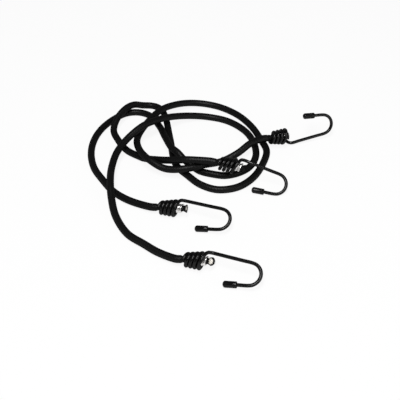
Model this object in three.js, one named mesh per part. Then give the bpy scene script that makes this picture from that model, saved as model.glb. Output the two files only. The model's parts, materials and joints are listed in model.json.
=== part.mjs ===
// A pair of bungee cords as they lie on a floor, in millimetres with +Z up. Each cord is a braided
// sheath over a rubber core, with a coiled wire hook at both ends. The origin is on the floor, under
// the middle of the pair. X runs to the right and Y runs away from the viewer.
import * as THREE from "three";

// The cord
const CORD_DIAMETER = 8;
const SHEATH_WALL = 0.7;
const FIT_GAP = 0.3;
const CROSSING_GAP = 0.6;
const CORD_SIDES = 8;
const CORD_STEP = 10;
const END_RUN_LENGTH = 90;

// The cord's end, squeezed to pass through the hook's coil, with its crimp and its cut tail
const GRIP_SQUEEZE = 1.7;
const GRIP_TAPER = 2.2;
const TAPER_INSIDE = 1.5;
const CRIMP_START = 2.4;
const CRIMP_WIDTH = 5;
const CRIMP_WALL = 1.1;
const CRIMP_SLIT = 1.4;
const TAIL_LENGTH = 4;
const TAIL_FLARE = 1.05;
const CORE_RECESS = 0.8;
const ROUND_SEGMENTS = 16;

// The hook's wire and its conical coil, narrow where the cord enters
const WIRE_DIAMETER = 3.6;
const WIRE_SIDES = 8;
const COIL_GAP = 0.5;
const COIL_FLARE = 2.1;
const COIL_TURNS = 3.75;
const COIL_PITCH = 4.4;
const COIL_LEAN = THREE.MathUtils.degToRad(18);
const STEPS_PER_TURN = 12;

// The hook's shank and bend, in the plane that holds the cord's axis
const LEAD_OUT_LENGTH = 9;
const LEAD_OUT_TURN = THREE.MathUtils.degToRad(200);
const LEAD_OUT_TURN_EASE = 1.7;
const LEAD_OUT_ALONG_EASE = 1.5;
const LEAD_OUT_STEPS = 7;
const SHANK_STANDOFF = 1;
const SHANK_LENGTH = 40.5;
const SHANK_STEPS = 4;
const SHANK_SLOPE = THREE.MathUtils.degToRad(10);
const BEND_RADIUS = 11.2;
const BEND_ANGLE = THREE.MathUtils.degToRad(169);
const BEND_STEPS = 8;
const TIP_LENGTH = 24;

// The soft cap on the hook's tip
const CAP_WALL = 1.2;
const CAP_LENGTH = 13.5;
const CAP_END_WALL = 2;
const CAP_LIP = 0.5;
const CAP_DOME_LENGTH = 2.4;

// The lay: route points are [x, y, lift], where a lift of 1 lies over one other strand
const LAY_CENTRE = new THREE.Vector2(13, 23.5);
const APPROACH_LENGTH = 5;
const ROUTE_1 = [
  [-67, -9.5, 0.05], [-80, -1.5, 0], [-92.5, 9.5, 0], [-105, 27.5, 0], [-117, 49, 0], [-123, 75, 0],
  [-122, 100, 0], [-115, 122, 0], [-103, 140, 0], [-89, 152, 0], [-74, 154, 0], [-60, 147, 0],
  [-48, 124, 0.2], [-39, 91, 1.05], [-31.5, 72, 1.12], [-25, 63.5, 1.15], [-16, 54.5, 0.6], [0, 43, 0],
  [13, 38, 0], [28, 35.5, 0], [44, 41, 0], [56, 52, 0], [63, 71, 0], [61, 97, 0],
  [52, 117.5, 0], [33, 136, 0], [10, 144, 0.05], [-14, 141, 0.5], [-36, 128, 1.35], [-51, 115, 1.9],
  [-66, 101, 2.1], [-83, 83, 1.45], [-92, 65, 1.1], [-96, 43, 0.85], [-95, 13, 1.15], [-92, -9, 0.6],
  [-86, -31, 0.15], [-72, -55.5, 0], [-55, -69.5, 0], [-41, -80.8, 0.05],
];
const ROUTE_2 = [
  [-1, 38.5, 2.2], [-15, 40.5, 2.1], [-31, 46, 1.5], [-48, 55.5, 0.7], [-65, 66.5, 0], [-83, 80, 0],
  [-95, 100, 0], [-101, 116, 0.15], [-98, 132, 0.75], [-88.5, 147.5, 1.2], [-79.5, 158.5, 0.95],
  [-70, 166, 0.25], [-58.5, 168, 0], [-48.5, 162, 0], [-42.5, 148, 0], [-34.5, 101, 0],
  [-26.5, 54, 0], [-13, 35, 0], [1, 20, 0], [19, 12, 0], [40, 16, 0], [57, 31, 0], [69.5, 55, 0],
  [75.5, 79, 0], [70.5, 99, 0], [60.5, 126, 0], [43, 151, 0], [17, 168.5, 0], [-9, 171, 0.25],
  [-31, 160, 0.8], [-49, 142, 1.15], [-71, 99, 0.7], [-68, 70, 1.1], [-56, 51, 1.15], [-38, 39.5, 0.75],
  [-14, 36, 1.1], [3, 42, 1.1], [25, 60.5, 0], [42.5, 68.5, 0.6], [57, 80, 1.15],
];

// Where each hook lies: the middle of its coil's wide end, the way its cord leaves, how far its crimp
// is drawn into the coil, from 0 loose to 1 seated in the cone, and how much of the full lean the coil's
// turns have, forward on the shank's side or, below 0, on the other side
const END_1A = { name: "1a", x: -25, y: -23.2, turn: -12, drawn: 0, leans: 1, rests: "floor" };
const END_1B = { name: "1b", x: 1.7, y: -97, turn: -12.8, drawn: 0.3, leans: 1, rests: "floor" };
const END_2A = { name: "2a", x: 37, y: 32.2, turn: -11.5, drawn: 0, leans: 1, rests: "cords", pitch: -6 };
const END_2B = {
  name: "2b", x: 96.2, y: 95.8, turn: 14, drawn: 1, leans: -0.5, rests: "shank", pitch: -3.5, roll: 247,
};
const SHANK_REST_GAP = 2.4;
const COIL_REST_GAP = 2.5;

// Sizes that follow from the ones above
const cordRadius = CORD_DIAMETER / 2;
const wireRadius = WIRE_DIAMETER / 2;
const sheathBore = cordRadius - SHEATH_WALL;
const coreRadius = sheathBore - FIT_GAP;
const gripRadius = cordRadius - GRIP_SQUEEZE / 2;
const gripBore = gripRadius - SHEATH_WALL;
const gripCore = gripBore - FIT_GAP;
const tailRadius = gripRadius + TAIL_FLARE;
const coilNarrowRadius = gripRadius + COIL_GAP + wireRadius;
const coilWideRadius = coilNarrowRadius + COIL_FLARE;
const coilLength = COIL_TURNS * COIL_PITCH;
const coilReach = coilWideRadius + wireRadius;
const shankOffset = coilWideRadius + SHANK_STANDOFF;
const leanShift = Math.tan(COIL_LEAN);
const coilBack = coilLength + leanShift * coilNarrowRadius + wireRadius;
const gripStart = -(coilBack - TAPER_INSIDE + GRIP_TAPER);
const crimpBore = gripRadius + FIT_GAP;
const crimpRadius = crimpBore + CRIMP_WALL;
const crimpPlay = coilWideRadius - wireRadius - crimpRadius - FIT_GAP;
const crimpSeat = leanShift * coilWideRadius - (crimpPlay * coilLength) / COIL_FLARE;
const crimpEnd = CRIMP_START + CRIMP_WIDTH;
const tailEnd = crimpEnd + FIT_GAP + TAIL_LENGTH;
const capBore = wireRadius + FIT_GAP;
const capRadius = capBore + CAP_WALL;
const capBoreDepth = CAP_LENGTH - CAP_END_WALL;

const pair = new THREE.Group();

// Finishes
const braid = () => new THREE.MeshStandardMaterial({ color: 0x161616, roughness: 0.9 });
const rubber = () => new THREE.MeshStandardMaterial({ color: 0xebe6d8, roughness: 0.7 });
const coatedWire = () => new THREE.MeshStandardMaterial({ color: 0x0e0e0e, roughness: 0.35 });
const softPlastic = () => new THREE.MeshStandardMaterial({ color: 0x1e1e1e, roughness: 0.55 });
const steel = () => new THREE.MeshStandardMaterial({ color: 0xd8d8d4, roughness: 0.25, metalness: 1 });

function addMesh(parent, name, geometry, material) {
  const mesh = new THREE.Mesh(geometry, material);
  mesh.name = name;
  parent.add(mesh);
  return mesh;
}

// Curves along the cord, whose section stays level so that a flat side faces the floor
class LevelCurve extends THREE.Curve {
  computeFrenetFrames(segments) {
    const up = new THREE.Vector3(0, 0, 1);
    const tangents = [];
    const normals = [];
    const binormals = [];
    for (let i = 0; i <= segments; i++) {
      const tangent = this.getTangentAt(i / segments);
      const normal = new THREE.Vector3().crossVectors(up, tangent).normalize();
      tangents.push(tangent);
      normals.push(normal);
      binormals.push(new THREE.Vector3().crossVectors(tangent, normal));
    }
    return { tangents, normals, binormals };
  }
}

// The whole route of a cord, which never dips below the height of a cord on the floor
class CordRoute extends LevelCurve {
  constructor(points) {
    super();
    this.spline = new THREE.CatmullRomCurve3(points, false, "centripetal");
    this.arcLengthDivisions = points.length * STEPS_PER_TURN;
  }

  getPoint(t, target = new THREE.Vector3()) {
    this.spline.getPoint(t, target);
    target.z = Math.max(target.z, cordRadius);
    return target;
  }
}

// A stretch of a route between two lengths along it
class RouteStretch extends LevelCurve {
  constructor(route, from, to) {
    super();
    this.route = route;
    this.from = from;
    this.to = to;
  }

  getPoint(t, target = new THREE.Vector3()) {
    const along = THREE.MathUtils.lerp(this.from, this.to, t);
    return this.route.getPointAt(along / this.route.getLength(), target);
  }
}

// A regular section with a flat side at the bottom, measured across its flat sides
function polygon(apothem, sides, path = new THREE.Path()) {
  const corner = apothem / Math.cos(Math.PI / sides);
  const points = [];
  for (let i = 0; i < sides; i++) {
    const angle = ((i + 0.5) / sides) * 2 * Math.PI - Math.PI / 2;
    points.push(new THREE.Vector2(corner * Math.cos(angle), corner * Math.sin(angle)));
  }
  return path.setFromPoints(points);
}

function sheathTube(extrudePath, steps) {
  const section = polygon(cordRadius, CORD_SIDES, new THREE.Shape());
  section.holes.push(polygon(sheathBore, CORD_SIDES));
  return new THREE.ExtrudeGeometry(section, { steps, extrudePath });
}

function coreTube(extrudePath, steps) {
  const section = polygon(coreRadius, CORD_SIDES, new THREE.Shape());
  return new THREE.ExtrudeGeometry(section, { steps, extrudePath });
}

// A turned piece about the hook's X axis, from a profile of [along, radius] points
function turned(profile) {
  const points = profile.map(([along, radius]) => new THREE.Vector2(radius, along));
  return new THREE.LatheGeometry(points, ROUND_SEGMENTS).rotateZ(-Math.PI / 2);
}

// How far an end's crimp and tail are drawn back from where they lie loose
function slipOf(end) {
  return end.drawn * (CRIMP_START - crimpSeat);
}

// The sheath's end: it narrows into the coil, passes the crimp and flares at its cut tail
function sheathGrip(slip) {
  const pinch = crimpEnd - slip;
  const cut = tailEnd - slip;
  return turned([
    [gripStart, cordRadius],
    [gripStart, sheathBore],
    [gripStart + GRIP_TAPER, gripBore],
    [pinch, gripBore],
    [cut, tailRadius - SHEATH_WALL],
    [cut, tailRadius],
    [pinch, gripRadius],
    [gripStart + GRIP_TAPER, gripRadius],
    [gripStart, cordRadius],
  ].reverse());
}

function coreGrip(slip) {
  const face = tailEnd - slip - CORE_RECESS;
  return turned([
    [gripStart, 0],
    [gripStart, coreRadius],
    [gripStart + GRIP_TAPER, gripCore],
    [crimpEnd - slip, gripCore],
    [face, tailRadius - SHEATH_WALL - 2 * FIT_GAP],
    [face, 0],
  ]);
}

// The crimp: a strip bent round the sheath, with a slit where its ends meet
function crimp(slip) {
  const halfSlit = CRIMP_SLIT / 2;
  const outsideAngle = Math.asin(halfSlit / crimpRadius);
  const boreAngle = Math.asin(halfSlit / crimpBore);
  const section = new THREE.Shape();
  section.absarc(0, 0, crimpRadius, outsideAngle, 2 * Math.PI - outsideAngle);
  section.absarc(0, 0, crimpBore, 2 * Math.PI - boreAngle, boreAngle, true);
  const settings = { depth: CRIMP_WIDTH, bevelEnabled: false, curveSegments: ROUND_SEGMENTS };
  const strip = new THREE.ExtrudeGeometry(section, settings);
  return strip.rotateY(Math.PI / 2).translate(CRIMP_START - slip, 0, 0);
}

// The bend's centre and the tip's direction, in the hook's plane with X along the cord
const shankAlong = new THREE.Vector3(Math.cos(SHANK_SLOPE), -Math.sin(SHANK_SLOPE), 0);
const shankAcross = new THREE.Vector3(-Math.sin(SHANK_SLOPE), -Math.cos(SHANK_SLOPE), 0);
const shankStart = new THREE.Vector3(LEAD_OUT_LENGTH, shankOffset, 0);
const bendStart = shankStart.clone().addScaledVector(shankAlong, SHANK_LENGTH);
const bendCentre = bendStart.clone().addScaledVector(shankAcross, BEND_RADIUS);
const bendPoint = (angle) => bendCentre.clone()
  .addScaledVector(shankAcross, -BEND_RADIUS * Math.cos(angle))
  .addScaledVector(shankAlong, BEND_RADIUS * Math.sin(angle));
const tipDirection = new THREE.Vector3()
  .addScaledVector(shankAlong, Math.cos(BEND_ANGLE))
  .addScaledVector(shankAcross, Math.sin(BEND_ANGLE));
const tipEnd = bendPoint(BEND_ANGLE).addScaledVector(tipDirection, TIP_LENGTH);
const capStart = tipEnd.clone().addScaledVector(tipDirection, -CAP_LENGTH);

// The wire's centreline: the coil winds down to the lead-out, which swings into the shank. Its turns
// lean: a point moves along the cord by a share of its distance across, which fades in the lead-out
function wirePath(end) {
  const points = [];
  const addTurn = (along, radius, angle, fade) => {
    const across = radius * Math.cos(angle);
    const shift = end.leans * leanShift * across * fade;
    points.push(new THREE.Vector3(along + shift, across, radius * Math.sin(angle)));
  };
  const coilSteps = Math.round(COIL_TURNS * STEPS_PER_TURN);
  for (let i = 0; i <= coilSteps; i++) {
    const share = i / coilSteps;
    const angle = LEAD_OUT_TURN + (1 - share) * COIL_TURNS * 2 * Math.PI;
    const radius = THREE.MathUtils.lerp(coilNarrowRadius, coilWideRadius, share);
    addTurn((share - 1) * coilLength, radius, angle, 1);
  }
  for (let i = 1; i < LEAD_OUT_STEPS; i++) {
    const share = i / LEAD_OUT_STEPS;
    const angle = LEAD_OUT_TURN * (1 - share) ** LEAD_OUT_TURN_EASE;
    const radius = THREE.MathUtils.lerp(coilWideRadius, shankOffset, share);
    addTurn(LEAD_OUT_LENGTH * share ** LEAD_OUT_ALONG_EASE, radius, angle, 1 - share);
  }
  for (let i = 0; i < SHANK_STEPS; i++) {
    points.push(shankStart.clone().lerp(bendStart, i / SHANK_STEPS));
  }
  for (let i = 0; i <= BEND_STEPS; i++) {
    points.push(bendPoint((i / BEND_STEPS) * BEND_ANGLE));
  }
  const insideCap = TIP_LENGTH - (CAP_LENGTH - capBoreDepth) - FIT_GAP;
  points.push(bendPoint(BEND_ANGLE).addScaledVector(tipDirection, insideCap / 2));
  points.push(bendPoint(BEND_ANGLE).addScaledVector(tipDirection, insideCap));
  const path = new THREE.CatmullRomCurve3(points, false, "centripetal");
  path.arcLengthDivisions = points.length * STEPS_PER_TURN;
  return path;
}

function hookWire(path) {
  const section = new THREE.Shape();
  const corners = [];
  for (let i = 0; i < WIRE_SIDES; i++) {
    const angle = (i / WIRE_SIDES) * 2 * Math.PI;
    corners.push(new THREE.Vector2(wireRadius * Math.cos(angle), wireRadius * Math.sin(angle)));
  }
  section.setFromPoints(corners);
  const meanTurn = Math.PI * (coilNarrowRadius + coilWideRadius);
  const steps = Math.round((path.getLength() / meanTurn) * STEPS_PER_TURN);
  return new THREE.ExtrudeGeometry(section, { steps, extrudePath: path });
}

// The cap: a blind sleeve with a rounded end, turned about the tip's own line
function tipCap() {
  const profile = [[capBoreDepth, 0], [capBoreDepth, capBore], [0, capBore]];
  profile.push([0, capRadius - CAP_LIP], [CAP_LIP, capRadius]);
  const domeStart = CAP_LENGTH - CAP_DOME_LENGTH;
  const domeSteps = 4;
  for (let i = 0; i <= domeSteps; i++) {
    const angle = (i / domeSteps) * (Math.PI / 2);
    const radius = i === domeSteps ? 0 : capRadius * Math.cos(angle);
    profile.push([domeStart + CAP_DOME_LENGTH * Math.sin(angle), radius]);
  }
  return turned(profile);
}

// How a hook lies: its height, the pitch of its cord and its roll about the cord, which unless it is
// given lets the hook down until its cap or its bend touches the floor
function lieOf(end) {
  const cone = Math.asin((coilWideRadius - coilNarrowRadius) / coilLength);
  const given = THREE.MathUtils.degToRad(end.pitch);
  const lies = {
    floor: { height: coilReach + Math.sin(cone) * leanShift * coilWideRadius, pitch: cone },
    cords: { height: CORD_DIAMETER + COIL_REST_GAP + coilReach, pitch: given },
    shank: { height: coilReach + SHANK_REST_GAP, pitch: given },
  };
  const { height, pitch } = lies[end.rests];
  const rollOnto = ([point, radius]) => {
    const drop = height + point.x * Math.sin(pitch) - radius;
    return Math.asin(Math.min(1, drop / (-point.y * Math.cos(pitch))));
  };
  const touches = [[tipEnd, capRadius], [capStart, capRadius]];
  for (let i = BEND_STEPS / 2; i <= BEND_STEPS; i++) {
    touches.push([bendPoint((i / BEND_STEPS) * BEND_ANGLE), wireRadius]);
  }
  const lowered = Math.min(...touches.map(rollOnto));
  const roll = end.roll === undefined ? lowered : THREE.MathUtils.degToRad(end.roll);
  return { height, pitch, roll };
}

// The cord's end and its hook, in a group whose X axis runs along the cord
function placeEnd(end) {
  const { height, pitch, roll } = lieOf(end);
  const cordEnd = new THREE.Group();
  cordEnd.position.set(end.x - LAY_CENTRE.x, end.y - LAY_CENTRE.y, height);
  cordEnd.rotation.set(0, -pitch, THREE.MathUtils.degToRad(end.turn), "ZYX");
  pair.add(cordEnd);
  const slip = slipOf(end);
  addMesh(cordEnd, `sheath_grip_${end.name}`, sheathGrip(slip), braid());
  addMesh(cordEnd, `core_grip_${end.name}`, coreGrip(slip), rubber());
  addMesh(cordEnd, `crimp_${end.name}`, crimp(slip), steel());

  const hook = new THREE.Group();
  hook.rotation.x = roll;
  cordEnd.add(hook);
  const path = wirePath(end);
  addMesh(hook, `hook_wire_${end.name}`, hookWire(path), coatedWire());
  const cap = addMesh(hook, `tip_cap_${end.name}`, tipCap(), softPlastic());
  cap.position.copy(capStart);
  cap.quaternion.setFromUnitVectors(new THREE.Vector3(1, 0, 0), tipDirection);
  cordEnd.updateMatrixWorld(true);
  return cordEnd;
}

// A point on the cord's line behind a hook, given by its distance along that line
function onAxis(cordEnd, along) {
  return cordEnd.localToWorld(new THREE.Vector3(along, 0, 0));
}

function layCord(name, points, endA, endB) {
  const [groupA, groupB] = [placeEnd(endA), placeEnd(endB)];
  const meet = gripStart - FIT_GAP;
  const strandPitch = CORD_DIAMETER + CROSSING_GAP;
  const free = points.map(([x, y, lift]) =>
    new THREE.Vector3(x - LAY_CENTRE.x, y - LAY_CENTRE.y, cordRadius + lift * strandPitch));
  const approach = (group) => [onAxis(group, meet), onAxis(group, meet - APPROACH_LENGTH)];
  const route = new CordRoute([...approach(groupA), ...free, ...approach(groupB).reverse()]);
  const length = route.getLength();
  const steps = Math.round(length / CORD_STEP);
  const runSteps = Math.round(END_RUN_LENGTH / CORD_STEP);
  const runA = (length * runSteps) / steps;
  const runB = length - runA;
  const middle = new RouteStretch(route, runA + FIT_GAP, runB - FIT_GAP);
  const stretchA = new RouteStretch(route, 0, runA);
  const stretchB = new RouteStretch(route, runB, length);
  addMesh(pair, `${name}_sheath`, sheathTube(middle, steps - 2 * runSteps), braid());
  addMesh(pair, `${name}_core`, coreTube(new RouteStretch(route, 0, length), steps), rubber());
  addMesh(pair, `sheath_run_${endA.name}`, sheathTube(stretchA, runSteps), braid());
  addMesh(pair, `sheath_run_${endB.name}`, sheathTube(stretchB, runSteps), braid());
  return { name, route, ends: [[endA, groupA], [endB, groupB]] };
}

const cords = [layCord("cord_1", ROUTE_1, END_1A, END_1B), layCord("cord_2", ROUTE_2, END_2A, END_2B)];

// Measured on points along the centrelines, so a gap is between the round surfaces
const SAMPLE_STEP = 0.5;
const SKIPPED_DIAMETERS = 3;
function leastGap(first, second, diameter, skip) {
  let least = Infinity;
  for (let i = 0; i < first.length; i++) {
    const start = first === second ? i + skip : 0;
    for (let j = start; j < second.length; j++) {
      least = Math.min(least, first[i].distanceTo(second[j]));
    }
  }
  return (least - diameter).toFixed(2);
}

const samples = cords.map(({ route }) => route.getSpacedPoints(Math.round(route.getLength() / SAMPLE_STEP)));
const skipped = (diameter) => Math.round((SKIPPED_DIAMETERS * diameter) / SAMPLE_STEP);
const skipCord = skipped(CORD_DIAMETER);
const skipWire = skipped(WIRE_DIAMETER);
console.log("least gap of cord 1 to itself", leastGap(samples[0], samples[0], CORD_DIAMETER, skipCord));
console.log("least gap of cord 2 to itself", leastGap(samples[1], samples[1], CORD_DIAMETER, skipCord));
console.log("least gap between the cords", leastGap(samples[0], samples[1], CORD_DIAMETER, 0));
for (const end of [END_1A, END_1B, END_2A, END_2B]) {
  const wire = wirePath(end);
  const turns = wire.getSpacedPoints(Math.round(wire.getLength() / SAMPLE_STEP));
  console.log("least gap of hook", end.name, "to itself", leastGap(turns, turns, WIRE_DIAMETER, skipWire));
}

const listed = (vector, digits) => vector.toArray().map((value) => value.toFixed(digits)).join(" ");
for (const { name, route, ends } of cords) {
  let cutLength = route.getLength();
  for (const [end] of ends) {
    cutLength += tailEnd - slipOf(end) - gripStart + FIT_GAP;
  }
  console.log(name, "cut length", cutLength.toFixed(0));
  for (const [end, group] of ends) {
    const axis = onAxis(group, 1).sub(onAxis(group, 0));
    console.log("end", end.name, "at", listed(group.position, 2), "axis", listed(axis, 5));
  }
}

export default pair;
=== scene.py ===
# %% [markdown]
# A pair of black bungee cords lies on a white floor. Each cord is a rubber bundle in a braided sheath,
# and each end runs through the coil of a bent wire hook, where a steel crimp stops it slipping out.
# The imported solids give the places, and their sizes are repeated here. This lesson puts finer meshes
# where those solids are.

# %% Load the frame
import json
import math
import random

import bpy
import numpy as np
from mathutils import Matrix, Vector


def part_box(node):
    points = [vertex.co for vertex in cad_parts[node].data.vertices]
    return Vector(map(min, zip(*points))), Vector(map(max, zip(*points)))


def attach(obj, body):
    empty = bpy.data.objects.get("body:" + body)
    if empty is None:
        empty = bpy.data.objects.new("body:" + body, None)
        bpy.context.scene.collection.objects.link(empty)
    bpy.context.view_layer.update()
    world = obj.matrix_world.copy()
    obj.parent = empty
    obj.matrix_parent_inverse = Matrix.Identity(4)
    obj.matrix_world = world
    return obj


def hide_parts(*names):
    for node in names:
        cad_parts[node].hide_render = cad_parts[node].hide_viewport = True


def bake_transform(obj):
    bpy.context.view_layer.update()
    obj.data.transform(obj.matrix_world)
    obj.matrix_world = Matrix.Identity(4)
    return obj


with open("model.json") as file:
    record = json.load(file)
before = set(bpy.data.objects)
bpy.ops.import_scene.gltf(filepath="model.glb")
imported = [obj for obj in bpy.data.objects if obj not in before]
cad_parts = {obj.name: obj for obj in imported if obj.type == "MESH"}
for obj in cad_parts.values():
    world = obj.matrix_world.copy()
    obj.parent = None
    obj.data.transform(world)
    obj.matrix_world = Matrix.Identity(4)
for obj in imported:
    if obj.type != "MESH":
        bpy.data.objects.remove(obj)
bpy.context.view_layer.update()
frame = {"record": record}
MM = 0.001

# %% [markdown]
# The camera comes first, because it decides what can be seen. It stands 42 degrees above the floor,
# which is the height at which all four hooks fit one shape, and looks at the middle of the picture.
# Floor places are written as they were chosen, from the picture's middle, and LAY_CENTRE moves them
# to the frame's origin.

# %% Camera
LAY_CENTRE = np.array([13, 23.5, 0]) * MM
CAMERA_ELEVATION = math.radians(42)
CAMERA_DISTANCE = 775.7 * MM
SENSOR_WIDTH = 36
FOCAL_LENGTH = 65.97

look_at = Vector(-LAY_CENTRE)
behind = Vector((0, -math.cos(CAMERA_ELEVATION), math.sin(CAMERA_ELEVATION)))
camera_data = bpy.data.cameras.new("camera")
camera_data.sensor_width = SENSOR_WIDTH
camera_data.lens = FOCAL_LENGTH
camera = bpy.data.objects.new("camera", camera_data)
camera.location = look_at + CAMERA_DISTANCE * behind
camera.rotation_euler = (math.pi / 2 - CAMERA_ELEVATION, 0, 0)
bpy.context.scene.collection.objects.link(camera)
bpy.context.scene.camera = camera
print("camera at", [round(x, 3) for x in camera.location])

# %% [markdown]
# A hook and the cord's end in it share one line, the cord's own axis. The swivel joint already states a
# point and a direction of that line, and the cap shows which way the hook has rolled about it. Three
# unit vectors made from those place every piece of an end, so nothing is fitted by eye. The crimp's box
# tells how far that crimp has been drawn into its coil, which differs from end to end.

# %% Frames of the four ends
END_NAMES = ("1a", "1b", "2a", "2b")
joints = {joint["name"]: joint for joint in frame["record"]["behaviour"]["joints"]}


def unit(vector):
    return vector / np.linalg.norm(vector)


class EndFrame:
    """A cord's end: its origin is in the coil's wide end, and its first axis runs along the cord."""

    def __init__(self, name):
        swivel = joints[f"swivel_{name}"]
        self.name = name
        self.origin = np.array(swivel["pos_m"], float)
        along = unit(np.array(swivel["axis"], float))
        to_cap = self.from_origin(f"tip_cap_{name}")
        across = -unit(to_cap - (to_cap @ along) * along)
        self.axes = np.array([along, across, np.cross(along, across)])
        self.crimp_middle = self.from_origin(f"crimp_{name}") @ along

    def from_origin(self, node):
        low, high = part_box(node)
        return (np.array(low) + np.array(high)) / 2 - self.origin

    def place(self, points):
        return self.origin + np.atleast_2d(points) @ self.axes


ends = {name: EndFrame(name) for name in END_NAMES}
for end in ends.values():
    crimp_at = round(end.crimp_middle / MM, 1)
    print("end", end.name, "at", np.round(end.origin, 4), "crimp at", crimp_at, "mm")

# %% [markdown]
# The cord and the coil that it runs through share their sizes. The coil is a cone of leaning turns,
# narrow where the cord enters, and the cord is squeezed thinner from just before the coil onwards.
# Lengths along an end are measured from the middle of the coil's wide end.

# %% Sizes of the cord and the coil
CORD_RADIUS = 4 * MM
FIT_GAP = 0.3 * MM
GRIP_RADIUS = 3.15 * MM
GRIP_TAPER = 2.2 * MM
TAPER_INSIDE = 1.5 * MM
WIRE_RADIUS = 1.8 * MM
COIL_GAP = 0.5 * MM
COIL_FLARE = 2.1 * MM
COIL_TURNS = 3.75
COIL_PITCH = 4.4 * MM
COIL_NARROW = GRIP_RADIUS + COIL_GAP + WIRE_RADIUS
COIL_WIDE = COIL_NARROW + COIL_FLARE
COIL_LENGTH = COIL_TURNS * COIL_PITCH
COIL_LEAN = math.radians(18)
LEAN_SHIFT = math.tan(COIL_LEAN)
COIL_BACK = COIL_LENGTH + LEAN_SHIFT * COIL_NARROW + WIRE_RADIUS
GRIP_START = -(COIL_BACK - TAPER_INSIDE + GRIP_TAPER)
print("the squeeze starts", round(-GRIP_START / MM, 1), "mm before the coil's wide end")

# %% [markdown]
# Cords and wires both follow a smooth line through a few points. Of the splines that pass through every
# point, the one with centripetal knots is used: it doesn't overshoot where points stand close together.

# %% Smooth lines
LINE_SAMPLES = 40


def smooth_line(points, samples=LINE_SAMPLES):
    """A centripetal spline through the points, as a fine list of points."""
    points = np.asarray(points, float)
    first = 2 * points[0] - points[1]
    last = 2 * points[-1] - points[-2]
    padded = np.vstack([first, points, last])
    knots = np.sqrt(np.linalg.norm(np.diff(padded, axis=0), axis=1))
    t = (np.arange(samples) / samples)[:, None]
    line = []
    for i in range(len(points) - 1):
        p0, p1, p2, p3 = padded[i:i + 4]
        d0, d1, d2 = knots[i:i + 3]
        m1 = ((p1 - p0) / d0 - (p2 - p0) / (d0 + d1) + (p2 - p1) / d1) * d1
        m2 = ((p2 - p1) / d1 - (p3 - p1) / (d1 + d2) + (p3 - p2) / d2) * d1
        rise = p2 - p1
        line.append(p1 + m1 * t + (3 * rise - 2 * m1 - m2) * t ** 2 + (m1 + m2 - 2 * rise) * t ** 3)
    return np.vstack([*line, points[-1:]])


def lengths_along(line):
    return np.concatenate([[0], np.cumsum(np.linalg.norm(np.diff(line, axis=0), axis=1))])


print("a smooth line has", LINE_SAMPLES, "steps between two points")

# %% [markdown]
# A cord is a fixed length of something flexible, so its route is one smooth line through listed points:
# across the floor, and in a low hump over each strand that it crosses. The third number of a point is its
# lift, where 1 lies over one other strand. The line never dips below the height of a cord on the floor.

# %% Routes of the two cords
CROSSING_GAP = 0.6 * MM
APPROACH_LENGTH = 5 * MM
LIFT = 2 * CORD_RADIUS + CROSSING_GAP
ROUTE_1 = [
    (-67, -9.5, 0.05), (-80, -1.5, 0), (-92.5, 9.5, 0), (-105, 27.5, 0), (-117, 49, 0), (-123, 75, 0),
    (-122, 100, 0), (-115, 122, 0), (-103, 140, 0), (-89, 152, 0), (-74, 154, 0), (-60, 147, 0),
    (-48, 124, 0.2), (-39, 91, 1.05), (-31.5, 72, 1.12), (-25, 63.5, 1.15), (-16, 54.5, 0.6), (0, 43, 0),
    (13, 38, 0), (28, 35.5, 0), (44, 41, 0), (56, 52, 0), (63, 71, 0), (61, 97, 0),
    (52, 117.5, 0), (33, 136, 0), (10, 144, 0.05), (-14, 141, 0.5), (-36, 128, 1.35), (-51, 115, 1.9),
    (-66, 101, 2.1), (-83, 83, 1.45), (-92, 65, 1.1), (-96, 43, 0.85), (-95, 13, 1.15), (-92, -9, 0.6),
    (-86, -31, 0.15), (-72, -55.5, 0), (-55, -69.5, 0), (-41, -80.8, 0.05),
]
ROUTE_2 = [
    (-1, 38.5, 2.2), (-15, 40.5, 2.1), (-31, 46, 1.5), (-48, 55.5, 0.7), (-65, 66.5, 0), (-83, 80, 0),
    (-95, 100, 0), (-101, 116, 0.15), (-98, 132, 0.75), (-88.5, 147.5, 1.2), (-79.5, 158.5, 0.95),
    (-70, 166, 0.25), (-58.5, 168, 0), (-48.5, 162, 0), (-42.5, 148, 0), (-34.5, 101, 0), (-26.5, 54, 0),
    (-13, 35, 0), (1, 20, 0), (19, 12, 0), (40, 16, 0), (57, 31, 0), (69.5, 55, 0), (75.5, 79, 0),
    (70.5, 99, 0), (60.5, 126, 0), (43, 151, 0), (17, 168.5, 0), (-9, 171, 0.25), (-31, 160, 0.8),
    (-49, 142, 1.15), (-71, 99, 0.7), (-68, 70, 1.1), (-56, 51, 1.15), (-38, 39.5, 0.75), (-14, 36, 1.1),
    (3, 42, 1.1), (25, 60.5, 0), (42.5, 68.5, 0.6), (57, 80, 1.15),
]


class CordLine:
    """A cord's centreline from one gripped end to the other, which it meets along their own axes."""

    def __init__(self, name, route, first, second):
        self.name = name
        self.ends = (first, second)
        meet = GRIP_START - FIT_GAP
        start = [first.place([meet - k * APPROACH_LENGTH, 0, 0])[0] for k in (0, 1)]
        finish = [second.place([meet - k * APPROACH_LENGTH, 0, 0])[0] for k in (1, 0)]
        laid = [(x * MM, y * MM, CORD_RADIUS + lift * LIFT) - LAY_CENTRE for x, y, lift in route]
        self.line = smooth_line(np.vstack([start, laid, finish]))
        self.line[:, 2] = np.maximum(self.line[:, 2], CORD_RADIUS)
        self.length = lengths_along(self.line)[-1]


cords = [
    CordLine("cord_1", ROUTE_1, ends["1a"], ends["1b"]),
    CordLine("cord_2", ROUTE_2, ends["2a"], ends["2b"]),
]
for cord in cords:
    print(cord.name, "runs", round(cord.length, 3), "m between its gripped ends")

# %% [markdown]
# Most pieces here are tubes: a row of rings along a line, joined by four-sided faces. One function makes
# the mesh from rings, closes its two ends, and writes where each corner lies on the cloth into a UV map,
# so that a finish can follow the strands. It works on numbers in bulk, which keeps the script fast.

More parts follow.
